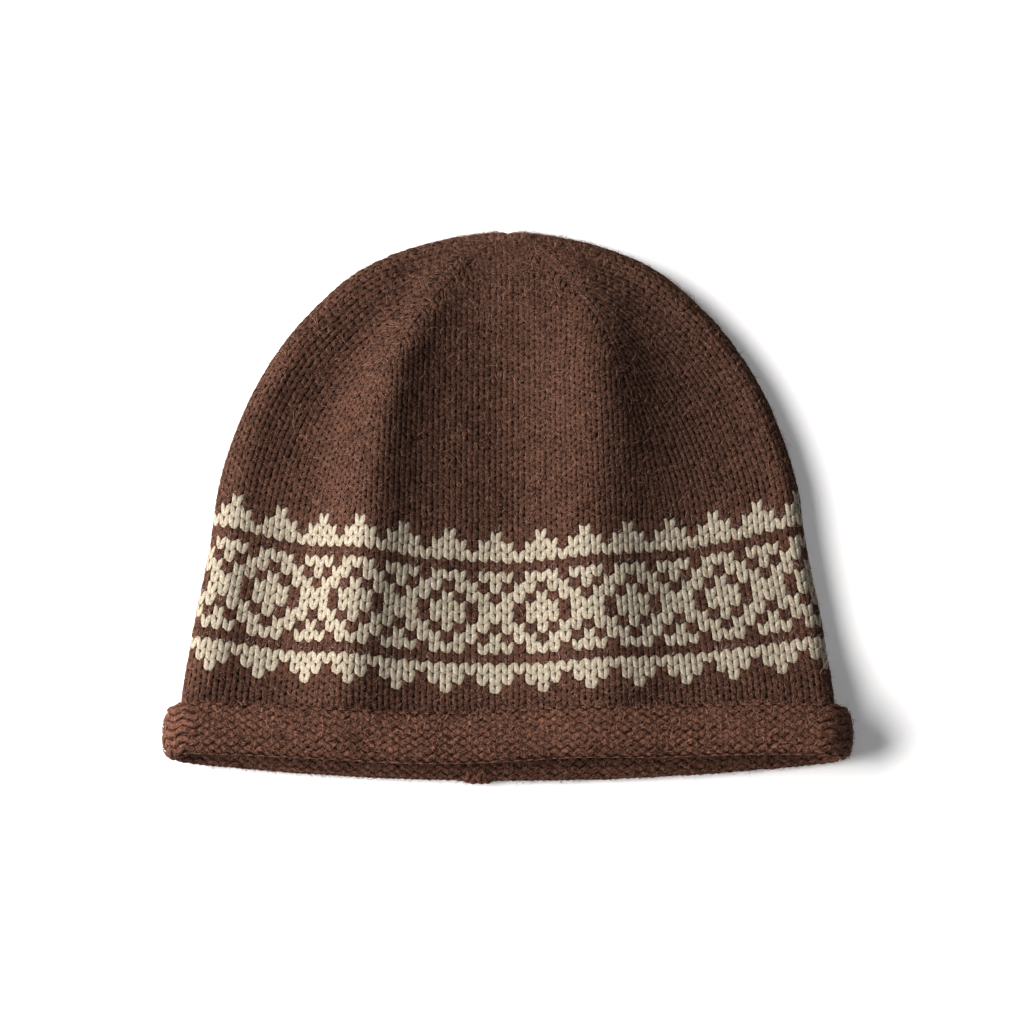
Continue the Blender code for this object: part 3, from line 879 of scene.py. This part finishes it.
class BEANIE_OT_backing(bpy.types.Operator):
    """Make the cloth that lies behind the stitches, in place of the three solids"""

    bl_idname = "beanie.backing"
    bl_label = "Backing cloth"

    def execute(self, context):
        y = context.scene.beanie_yarn
        # The backing is the cloth's reverse side, in the yarn's colours dimmed (the brown to 0.9, its dark
        # fibres to 0.6, the cream floats to 0.7): the dimming is painted shade where the backing shows
        # between the stitches.
        dark = scaled_colour(y.brown_dark, 0.6)
        light = scaled_colour(y.brown, 0.9)
        back = cloth_back("brown_reverse", light, dark)
        floats = cloth_back("band_reverse", light, dark, scaled_colour(y.cream, 0.7))
        crown = body_sheet(CROWN_START, CROWN_END - 0.35, WALL, SHEET_GAP, 0.0)
        close_tip(crown, 2 * WALES)
        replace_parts(crown.make("crown_cloth", back, "plain_knit"), "crown")
        band = body_sheet(BAND_START, CROWN_START, BAND_WALL, SHEET_GAP, SHEET_GAP, 2)
        wale, course = band.yarn[0][:, 0], band.yarn[0][:, 1]
        near = [is_cream(course - 0.1 + down, wale + side) for down in (-0.2, 0.2) for side in (-0.3, 0.3)]
        share = sum(near) / 4
        share[len(share) // 2:] = 0.3
        band.tint[0] = share
        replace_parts(band.make("band_cloth", floats, "patterned_knit"), "pattern_band")
        around = np.arange(2 * WALES) / (2 * WALES)
        outer, inner, courses = [], [], []
        for c in np.linspace(BAND_START - SHEET_GAP, 0.0, 8):
            points, normals = cloth().body.at(np.full(len(around), c), around)
            outer.append(points - normals * SHEET_DEPTH)
            inner.append(points - normals * WALL)
            courses.append(c)
        for s in np.arange(0.5, cloth().roll_courses + 0.01, 0.5):
            shown, facing = cloth().roll.at(np.full(len(around), s), around)
            knit, _ = cloth().roll_inner.at(np.full(len(around), s), around)
            depth = SHEET_DEPTH * min(1.0, s / 1.5)
            outer.append(knit)
            inner.append(shown - facing * depth)
            courses.append(-s)
        skein = sheet_skein(inner, outer, courses, around)
        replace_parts(skein.make("brim_cloth", back, "brim_knit"), "rolled_brim")
        return {"FINISHED"}


class BEANIE_OT_crown(bpy.types.Operator):
    """Knit the plain crown, with its four lines of decreases"""

    bl_idname = "beanie.crown"
    bl_label = "Crown stitches"

    def execute(self, context):
        y = context.scene.beanie_yarn
        rng = np.random.default_rng(11)
        base = [cloth().quarter_length(q, CROWN_START) / QUARTER_WALES for q in range(4)]
        rows = []
        for j in range(CROWN_START, CROWN_END):
            for q in range(4):
                length = cloth().quarter_length(q, j + 0.5)
                w = base[q]
                if length < 2 * w:
                    rows.append((j, q, 1, 0.0, length / 2, 0))
                    rows.append((j, q, 1, 0.0, length / 2, 1))
                    continue
                m = int(np.clip(round(length / (2 * w)) - 1, 0, 13))
                rows.append((j, q, 1, 0.0, w, 0))
                rows.append((j, q, 1, 0.0, w if m else length - w, 1))
                for i in range(1, m + 1):
                    wide = w if i < m else length / 2 - m * w
                    middle = i * w if i < m else (m - 0.5) * w + wide / 2
                    rows.append((j, q, 1, middle, wide, 0))
                    rows.append((j, q, -1, middle, wide, 0))
        rows = np.array(rows)
        j, q, sign, middle, wide, line = rows.T
        q = q.astype(int)
        centre = np.array([cloth().quarter_length(k, c + 0.5) for k, c in zip(q, j, strict=True)])
        share = np.where(line > 0, 0.5, middle / np.maximum(centre, 1e-6))
        around = np.where(sign > 0, q + share, q + 1 - share) / 4.0
        front = (np.abs((around + 0.5) % 1.0 - 0.5) < 0.25)
        tint = patchy(rng, j, around)
        lift = rng.normal(0.0, 0.00004, len(j))
        levels, lengths = cloth().levels, cloth().quarters
        for name, pick, start, stations in (
                ("crown_stitches_front", front, -0.25, LEG),
                ("crown_stitches_back", ~front, 0.25, PLAIN_LEG)):
            pj, pq, ps = j[pick], q[pick], sign[pick]
            pm, pw, pl = middle[pick], wide[pick], line[pick]

            def place(a, b, pj=pj, pq=pq, ps=ps, pm=pm, pw=pw, pl=pl):
                course = np.clip(pj[:, None] + b, 0.0, CROWN_END - 0.02)
                length = np.zeros_like(course)
                for k in range(4):
                    rows_here = pq == k
                    length[rows_here] = np.interp(course[rows_here], levels, lengths[:, k])
                length = np.maximum(length, 1e-5)
                reach = pm[:, None] + a * pw[:, None]
                reach = np.where(pl[:, None] > 0, 0.5 * length + a * pw[:, None], reach)
                reach = np.minimum(reach, length)
                shares = reach / length
                return course, np.where(ps[:, None] > 0, pq[:, None] + shares, pq[:, None] + 1 - shares) / 4.0

            def uv_of(course, around, start=start):
                across = ((around - start + 0.25) % 1.0 - 0.25) * 2.0
                return np.stack([across, (course - CROWN_START + 0.6) / (CROWN_END - CROWN_START + 0.6)], -1)

            skein = Skein()
            lay_legs(skein, rng, place, int(pick.sum()), (0.00375, 0.00243),
                     (y.half_width, y.half_height), lift[pick], tint[pick], uv_of, stations)
            skein.make(name, brown_wool(), "plain_knit")
        return {"FINISHED"}


def ring_stitches(courses):
    """Courses and wales of every stitch of a zone that keeps its count."""
    course, wale = np.meshgrid(np.asarray(courses, float), np.arange(WALES), indexing="ij")
    return course.ravel(), wale.ravel()


def unrolled(first, courses):
    """Lays a zone that goes all the way round out flat on its map."""
    def places(course, around):
        return np.stack([(around + 0.5 / WALES) % 1.0, (course - first + 0.6) / courses], -1)
    return places


class BEANIE_OT_band(bpy.types.Operator):
    """Knit the two-colour band from its chart"""

    bl_idname = "beanie.band"
    bl_label = "Band stitches"

    def execute(self, context):
        y = context.scene.beanie_yarn
        rng = np.random.default_rng(23)
        course, wale = ring_stitches(range(BAND_START, CROWN_START))
        cream = is_cream(course, wale)
        for name, pick, finish, fullness in (
                ("band_stitches_brown", ~cream, brown_wool(), 1.20),
                ("band_stitches_cream", cream, cream_wool(), 1.10)):
            pc, pw = course[pick], wale[pick]

            def place(a, b, pc=pc, pw=pw):
                return pc[:, None] + b, (pw[:, None] + a) / WALES

            skein = Skein()
            lay_legs(skein, rng, place, len(pc), (0.0040, 0.0034),
                     (y.half_width * fullness, y.half_height), np.zeros(len(pc)),
                     patchy(rng, pc, pw / WALES), unrolled(BAND_START, len(CHART) + 1.6))
            skein.make(name, finish, "patterned_knit")
        return {"FINISHED"}


class BEANIE_OT_strip(bpy.types.Operator):
    """Knit the plain strip between the band and the rolled brim"""

    bl_idname = "beanie.strip"
    bl_label = "Strip stitches"

    def execute(self, context):
        y = context.scene.beanie_yarn
        rng = np.random.default_rng(31)
        course, wale = ring_stitches(range(0, BAND_START))

        def place(a, b):
            return course[:, None] + b, (wale[:, None] + a) / WALES

        skein = Skein()
        lay_legs(skein, rng, place, len(course), (0.0041, 0.0023), (y.half_width, y.half_height),
                 np.zeros(len(course)), patchy(rng, course, wale / WALES), unrolled(0, BAND_START + 1.2))
        skein.make("strip_stitches", brown_wool(), "plain_knit")
        return {"FINISHED"}


def oval(points, across, above, half_width, half_height, sides=6):
    """Rings of points of a strand with an oval section, flatter underneath."""
    angles = np.linspace(0.0, math.pi, sides - 1)
    angles = np.append(angles, 1.5 * math.pi)
    deep = np.ones(sides)
    deep[-1] = 0.5
    cos, sin = np.cos(angles), np.sin(angles) * deep
    return (points[..., None, :]
            + across[..., None, :] * (cos[:, None] * half_width)
            + above[..., None, :] * (sin[:, None] * half_height))


def tube_quads(rings, sides, closed):
    """Faces of a length of yarn between its rings of points."""
    k = np.arange(rings if closed else rings - 1)
    n = (k + 1) % rings
    quads = []
    for s in range(sides):
        t = (s + 1) % sides
        quads.append(np.stack([k * sides + s, n * sides + s, n * sides + t, k * sides + t], 1))
    return np.concatenate(quads)


class BEANIE_OT_brim(bpy.types.Operator):
    """Knit the rolled brim's courses, which show the reverse side"""

    bl_idname = "beanie.brim"
    bl_label = "Rolled brim"

    def execute(self, context):
        y = context.scene.beanie_yarn
        rng = np.random.default_rng(47)
        first = cloth().turn_to_course(24.0)
        last = cloth().turn_to_course(300.0)
        per_wale, sides = 8, 5
        count = WALES * per_wale
        around = np.arange(count) / count
        phase = (np.arange(count) / per_wale) % 1.0
        skein = Skein()
        quads = tube_quads(count, sides, True)
        for j in range(int(first), int(last) + 1):
            wander = 0.05 * np.interp(around * WALES, np.arange(WALES + 1), rng.normal(0, 1, WALES + 1))
            loose = np.interp(around * WALES, np.arange(WALES + 1), rng.normal(0, 1, WALES + 1))
            course = j + 0.5 + 0.24 * np.cos(2 * math.pi * phase) + 1.4 * wander
            height = -0.00026 + 0.00014 * np.cos(4 * math.pi * phase) + 0.00008 * loose
            points, normals = cloth().roll.at(course, around)
            centre = points + normals * height[:, None]
            along = unit(np.roll(centre, -1, axis=0) - np.roll(centre, 1, axis=0))
            across = unit(np.cross(normals, along))
            rings = oval(centre, across, normals, y.roll_half_width, 0.00044, sides)
            measure = np.zeros((count, sides, 3))
            measure[..., 0] = (around * WALES * 4.6)[:, None]
            measure[..., 1] = (np.arange(sides) / sides)[None, :]
            measure[..., 2] = j * 1.37
            tint = np.interp(around * WALES, np.arange(WALES + 1), rng.normal(0, 0.8, WALES + 1))
            # crest: low at the course's sides and underside and in the dips between its bumps, where the wool
            # paints shade.
            crest = 0.70 + 0.30 * np.cos(4 * math.pi * phase)
            crest = crest[:, None] * np.array([0.0, 0.9, 0.9, 0.0, 0.0])[None, :]
            places = np.stack([np.repeat(around[:, None], sides, 1),
                               (j - int(first) + 0.5 + 0.4 * np.cos(np.linspace(0, math.pi, sides)))[None, :]
                               / (int(last) + 1 - int(first)) + 0 * around[:, None]], -1)
            skein.add(rings, quads, np.zeros((0, 3), int), measure,
                      np.repeat(tint[:, None], sides, 1), crest, places)
        skein.make("brim_courses", brim_wool(), "brim_knit")
        return {"FINISHED"}


def strand(skein, rng, centre, normals, half_width, half_height, tint, sides=6):
    """A single strand of yarn along a run of points, drawn to a point at both ends."""
    m = len(centre)
    along = unit(np.gradient(centre, axis=0))
    across = unit(np.cross(normals, along))
    taper = np.ones(m)
    taper[0] = taper[-1] = 0.35
    rings = oval(centre, across * taper[:, None], normals * taper[:, None], half_width, half_height, sides)
    caps = [(0, s + 1, s) for s in range(1, sides - 1)]
    end = (m - 1) * sides
    caps += [(end, end + s, end + s + 1) for s in range(1, sides - 1)]
    run = np.concatenate([[0.0], np.cumsum(np.linalg.norm(np.diff(centre, axis=0), axis=1))])
    measure = np.zeros((m, sides, 3))
    measure[..., 0] = run[:, None] * 1000
    measure[..., 1] = (np.arange(sides) / sides)[None, :]
    measure[..., 2] = rng.uniform(0, 10)
    # crest: low at the strand's sides and underside, where the wool paints shade.
    crest = np.tile(np.array([0.1, 0.7, 1.0, 0.7, 0.1, 0.0])[None, :], (m, 1))
    places = np.stack([np.repeat(np.linspace(0, 1, m)[:, None], sides, 1),
                       np.tile(np.linspace(0, 1, sides)[None, :], (m, 1))], -1)
    skein.add(rings, tube_quads(m, sides, False), np.array(caps), measure,
              np.full((m, sides), tint), crest, places)


class BEANIE_OT_edge(bpy.types.Operator):
    """Lay a lighter strand along the front roll's lower edge as a painted highlight, and the back seam's end
    on the lower roll
    """

    bl_idname = "beanie.edge"
    bl_label = "Edge and seam"

    def execute(self, context):
        rng = np.random.default_rng(59)
        skein = Skein()
        around = np.linspace(-0.235, 0.238, 900)
        turn = cloth().turn_to_course(86.0)
        wave = 0.10 * np.cos(2 * math.pi * around * WALES)
        points, normals = cloth().roll.at(np.full(len(around), turn) + wave, around)
        # The strand's tint of 1.6 makes it lighter than the roll: a painted highlight along the roll's lower
        # edge.
        strand(skein, rng, points + normals * 0.00030, normals, 0.00042, 0.00040, 1.6)
        skein.make("painted_highlight_strand", brim_wool(), "brim_knit")
        seam = Skein()
        low, high = cloth().turn_to_course(44.0), cloth().turn_to_course(128.0)
        middle = 0.5 - SEAM_X / (4.0 * HALF_WIDTH)
        for k, shift in enumerate((-0.0031, -0.0011, 0.0010, 0.0030)):
            courses = np.linspace(low + 0.3 * (k % 2), high - 0.25 * ((k + 1) % 2), 26)
            drift = 0.0004 * np.sin(np.linspace(0, 9, 26) + k)
            spots = middle - (shift + drift) / (4.0 * HALF_WIDTH)
            points, normals = cloth().roll.at(courses, spots)
            ends = np.sin(np.linspace(0, math.pi, 26)) ** 0.5
            height = (-0.0008 + 0.0007 * ends)[:, None]
            strand(seam, rng, points + normals * height, normals, 0.0010, 0.0006, 0.4 * (-1) ** k)
        seam.make("seam_end", brim_wool(), "brim_knit")
        return {"FINISHED"}


class BEANIE_OT_fuzz(bpy.types.Operator):
    """Lay the wool's loose fibres over the stitches"""

    bl_idname = "beanie.fuzz"
    bl_label = "Fuzz"

    def execute(self, context):
        f = context.scene.beanie_fuzz
        rng = np.random.default_rng(71)
        count = f.count
        roll = rng.uniform(size=count) < 0.32
        spots = rng.uniform(size=count)
        course = np.where(roll, rng.uniform(cloth().turn_to_course(25), cloth().turn_to_course(290), count),
                          rng.uniform(1.0, CROWN_END - 1.0, count))
        on_band = (~roll) & (course >= BAND_START) & (course < CROWN_START)
        cream = on_band & is_cream(course - 0.1, spots * WALES)
        body_p, body_n = cloth().body.at(course, spots)
        roll_p, roll_n = cloth().roll.at(course, spots)
        points = np.where(roll[:, None], roll_p, body_p)
        normals = np.where(roll[:, None], roll_n, body_n)
        keep = (normals[:, 2] > -0.55) | (rng.uniform(size=count) < 0.25)
        points, normals = points[keep], normals[keep]
        cream, roll, banded = cream[keep], roll[keep], on_band[keep]
        count = len(points)
        flat = rng.normal(size=(count, 3))
        flat = unit(flat - normals * np.einsum("ij,ij->i", flat, normals)[:, None])
        turn = unit(np.cross(normals, flat))
        length = f.length * rng.lognormal(0.0, 0.45, count) * np.where(cream, 0.55, 1.0)
        lean = rng.uniform(0.05, 0.95, count) ** 1.3
        bend = rng.normal(0.0, 1.5, count)
        bend = np.where(np.abs(bend) < 0.1, 0.1, bend)
        start = points + normals * rng.uniform(-0.0001, 0.0003, count)[:, None]
        lines = []
        for t in (0.0, 0.36, 0.70, 1.0):
            ahead = flat * np.sin(bend * t)[:, None] + turn * (1.0 - np.cos(bend * t))[:, None]
            ahead = ahead / bend[:, None]
            rise = lean * (t - 0.6 * t * t)
            lines.append(start + (ahead + normals * rise[:, None]) * length[:, None])
        lines = np.array(lines)
        width = f.width * np.array([1.0, 0.95, 0.7, 0.0])
        edge = []
        for k in range(4):
            along = lines[min(k + 1, 3)] - lines[max(k - 1, 0)]
            side = unit(np.cross(along, normals + 0.6 * turn))
            edge.append((lines[k] - side * width[k] / 2, lines[k] + side * width[k] / 2))
        verts = np.stack([*edge[0], *edge[1], *edge[2], lines[3]], 1)
        quads = np.array([[0, 1, 3, 2], [2, 3, 5, 4]])
        tips = np.array([[4, 5, 6]])
        y = context.scene.beanie_yarn
        brown = fibre_finish("brown_fibre", tuple(y.brown))
        kinds = (("fuzz_crown", ~cream & ~banded & ~roll, brown, "plain_knit"),
                 ("fuzz_band", ~cream & banded, brown, "patterned_knit"),
                 ("fuzz_cream", cream, fibre_finish("cream_fibre", tuple(y.cream)), "patterned_knit"),
                 ("fuzz_brim", roll, brown, "brim_knit"))
        for name, pick, finish, slot in kinds:
            chosen = verts[pick]
            number = len(chosen)
            offset = (np.arange(number) * 7)[:, None, None]
            tint = np.repeat(rng.normal(0, 1, (number, 1)), 7, 1)
            reach = np.tile(np.array([0.0, 0.0, 0.4, 0.4, 0.7, 0.7, 1.0])[None], (number, 1))
            measure = np.zeros((number, 7, 3))
            measure[..., 0] = reach
            measure[..., 2] = rng.uniform(0, 10, (number, 1))
            grid = math.ceil(math.sqrt(number))
            cell = np.stack([np.arange(number) % grid, np.arange(number) // grid], 1) / grid
            shape = np.array([[0, 0], [1, 0], [0, 0.4], [1, 0.4], [0, 0.7], [1, 0.7], [0.5, 1]]) * 0.9 / grid
            places = cell[:, None, :] + shape[None]
            skein = Skein()
            skein.add(chosen, quads[None] + offset, tips[None] + offset, measure, tint, reach, places)
            skein.make(name, finish, slot)
        return {"FINISHED"}


def fibre_finish(name, light):
    """Loose fibres: most a little lighter than the yarn they come from."""
    f = Finish(name)
    tint = f.attribute("tint", "Fac")
    dull = tuple(c * 0.8 for c in light)
    pale = tuple(min(0.50, c * 2.8 + 0.02) for c in light)
    colour = f.mix((0.4 + tint * 0.4).clamped(), dull, pale)
    return f.set(colour=colour, rough=0.7 + tint * 0.03, metal=0.0, sheen=0.2, sheen_rough=0.4,
                 sheen_tint=(*pale, 1.0), specular=0.25)


class BEANIE_OT_stage(bpy.types.Operator):
    """Set the plain pale surface, its soft light and the camera"""

    bl_idname = "beanie.stage"
    bl_label = "Stage"

    def execute(self, context):
        s = context.scene.beanie_stage
        size = 3.0
        mesh = bpy.data.meshes.new("floor")
        corners = [(-size, -size, 0), (size, -size, 0), (size, size, 0), (-size, size, 0)]
        mesh.from_pydata(corners, [], [(0, 1, 2, 3)])
        floor = bpy.data.objects.new("floor", mesh)
        context.scene.collection.objects.link(floor)
        f = Finish("floor_paint")
        place = f.node("ShaderNodeTexCoord", {}, {}, "Object")
        grain = f.noise(place, 40.0, 3.0)
        pale = tuple(s.floor)
        off = tuple(c * 0.985 for c in pale)
        mesh.materials.append(f.set(colour=f.mix(grain, off, pale), rough=0.75 + grain * 0.05, metal=0.0,
                                    specular=0.2, glow=(*pale, 1.0), glow_strength=s.glow))
        world = bpy.data.worlds.new("soft_room")
        world.use_nodes = True
        world.node_tree.nodes["Background"].inputs["Color"].default_value = (0.97, 0.985, 1.0, 1.0)
        world.node_tree.nodes["Background"].inputs["Strength"].default_value = s.surround
        context.scene.world = world
        level = math.cos(s.key_height)
        way = Vector((-level * math.cos(s.key_side), level * math.sin(s.key_side), math.sin(s.key_height)))
        spot = s.key_distance * way
        data = bpy.data.lights.new("key_light", "AREA")
        data.shape = "DISK"
        data.size = s.key_size
        data.energy = s.key
        data.color = (1.0, 0.985, 0.96)
        lamp = bpy.data.objects.new("key_light", data)
        lamp.location = spot
        lamp.rotation_mode = "QUATERNION"
        lamp.rotation_quaternion = (-spot).to_track_quat("-Z", "Y")
        context.scene.collection.objects.link(lamp)
        cam_data = bpy.data.cameras.new("camera")
        cam_data.lens = 100.0
        cam_data.sensor_width = 36.0
        camera = bpy.data.objects.new("camera", cam_data)
        context.scene.collection.objects.link(camera)
        target = Vector((0.0014, -0.0057, 0.015))
        back = Vector((0.0, -math.cos(s.elevation), math.sin(s.elevation)))
        camera.location = target + back * s.distance
        camera.rotation_mode = "QUATERNION"
        camera.rotation_quaternion = (-back).to_track_quat("-Z", "Y")
        context.scene.camera = camera
        context.scene.view_settings.view_transform = "Standard"
        context.scene.view_settings.gamma = s.depth
        return {"FINISHED"}


class BEANIE_PT_panel(bpy.types.Panel):
    """The hat's settings and steps"""

    bl_idname = "BEANIE_PT_panel"
    bl_label = "Rolled Brim Beanie"
    bl_space_type = "VIEW_3D"
    bl_region_type = "UI"
    bl_category = "Beanie"

    def draw(self, context):
        scene = context.scene
        groups = (("Yarn", scene.beanie_yarn), ("Fuzz", scene.beanie_fuzz), ("Stage", scene.beanie_stage))
        for title, group in groups:
            box = self.layout.box()
            box.label(text=title)
            for key in group.__annotations__:
                box.prop(group, key)
        column = self.layout.column(align=True)
        for step in STEPS:
            column.operator(step.bl_idname)


SETTINGS = {"beanie_yarn": BeanieYarn, "beanie_fuzz": BeanieFuzz, "beanie_stage": BeanieStage}
STEPS = (BEANIE_OT_stage, BEANIE_OT_backing, BEANIE_OT_crown, BEANIE_OT_band, BEANIE_OT_strip,
         BEANIE_OT_brim, BEANIE_OT_edge, BEANIE_OT_fuzz)


def register():
    for key, group in SETTINGS.items():
        bpy.utils.register_class(group)
        setattr(bpy.types.Scene, key, bpy.props.PointerProperty(type=group))
    for step in STEPS:
        bpy.utils.register_class(step)
    bpy.utils.register_class(BEANIE_PT_panel)


def unregister():
    bpy.utils.unregister_class(BEANIE_PT_panel)
    for step in reversed(STEPS):
        bpy.utils.unregister_class(step)
    for key, group in SETTINGS.items():
        delattr(bpy.types.Scene, key)
        bpy.utils.unregister_class(group)


def main():
    register()
    for step in STEPS:
        family, name = step.bl_idname.split(".")
        getattr(getattr(bpy.ops, family), name)()


if __name__ == "__main__":
    main()
